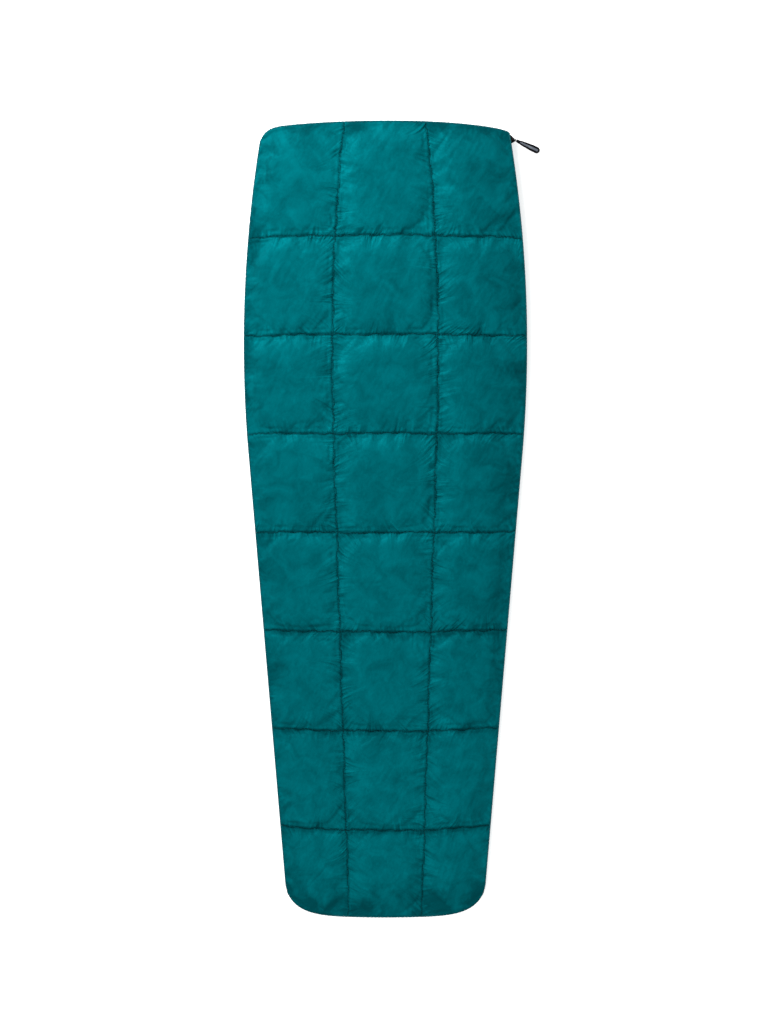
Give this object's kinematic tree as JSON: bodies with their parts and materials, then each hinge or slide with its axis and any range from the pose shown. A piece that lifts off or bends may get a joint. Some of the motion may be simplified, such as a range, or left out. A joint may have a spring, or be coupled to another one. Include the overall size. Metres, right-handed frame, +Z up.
{
  "type": "camp quilt",
  "caption": "Tapered box-quilted down travel quilt, zipped up one side and across the foot into a flat bag, with a slider and a long pull tab at the head corner.",
  "frame": {"origin": "on the ground, under the middle of the fifth row of chambers from the foot", "axes": "+X towards the zipped side, +Y towards the head opening, +Z up from the ground the quilt lies on"},
  "size_m": [0.7366, 1.9812, 0.052],
  "materials": {
    "shell_fabric": "light crinkled nylon with a soft sheen, deep teal",
    "lining_fabric": "matte light nylon, dark slate",
    "down": "off-white down fill",
    "binding": "woven binding tape, dark teal",
    "zip_tape": "woven zip tape, dark teal",
    "zip_coil": "black nylon coil",
    "slider": "black painted zinc",
    "pull_link": "black moulded loop",
    "pull_tab": "black moulded rubber with a plain grey inset"
  },
  "bodies": {
    "lower_half": {"lower_shell": "shell_fabric", "lower_lining": "lining_fabric", "lower_down_r1c1": "down", "lower_down_r1c2": "down", "lower_down_r1c3": "down", "lower_down_r2c1": "down", "lower_down_r2c2": "down", "lower_down_r2c3": "down", "lower_down_r3c1": "down", "lower_down_r3c2": "down", "lower_down_r3c3": "down", "lower_down_r4c1": "down", "lower_down_r4c2": "down", "lower_down_r4c3": "down", "lower_down_r5c1": "down", "lower_down_r5c2": "down", "lower_down_r5c3": "down", "lower_down_r6c1": "down", "lower_down_r6c2": "down", "lower_down_r6c3": "down", "lower_down_r7c1": "down", "lower_down_r7c2": "down", "lower_down_r7c3": "down", "lower_down_r8c1": "down", "lower_down_r8c2": "down", "lower_down_r8c3": "down", "lower_zip_tape": "zip_tape", "lower_zip_coil": "zip_coil", "left_seam_strip": "binding"},
    "upper_half": {"upper_shell": "shell_fabric", "upper_lining": "lining_fabric", "upper_down_r1c1": "down", "upper_down_r1c2": "down", "upper_down_r1c3": "down", "upper_down_r2c1": "down", "upper_down_r2c2": "down", "upper_down_r2c3": "down", "upper_down_r3c1": "down", "upper_down_r3c2": "down", "upper_down_r3c3": "down", "upper_down_r4c1": "down", "upper_down_r4c2": "down", "upper_down_r4c3": "down", "upper_down_r5c1": "down", "upper_down_r5c2": "down", "upper_down_r5c3": "down", "upper_down_r6c1": "down", "upper_down_r6c2": "down", "upper_down_r6c3": "down", "upper_down_r7c1": "down", "upper_down_r7c2": "down", "upper_down_r7c3": "down", "upper_down_r8c1": "down", "upper_down_r8c2": "down", "upper_down_r8c3": "down", "upper_zip_tape": "zip_tape", "upper_zip_coil": "zip_coil"},
    "zip_slider": {"zip_slider_body": "slider"},
    "zip_link": {"zip_pull_link": "pull_link"},
    "zip_tab": {"zip_pull_tab": "pull_tab"}
  },
  "joints": [
    {"name": "fold_open", "type": "hinge", "parent": "lower_half", "child": "upper_half", "pos_m": [-0.29526, -0.46028, 0.026], "axis": [0.0854, -0.9963, 0], "range_deg": [0, 180]},
    {"name": "zip_travel", "type": "hinge", "parent": "lower_half", "child": "zip_slider", "pos_m": [-2.8526, 0.3433, 0.026], "axis": [0, 0, -1], "range_deg": [0, 13.9]},
    {"name": "pull_swing", "type": "hinge", "parent": "zip_slider", "child": "zip_link", "pos_m": [0.31478, 0.8547, 0.026], "axis": [0, 0, 1], "range_deg": [-50, 115]},
    {"name": "tab_lift", "type": "hinge", "parent": "zip_link", "child": "zip_tab", "pos_m": [0.3248, 0.85045, 0.02259], "axis": [-0.3907, -0.9205, 0], "range_deg": [0, 35]}
  ]
}
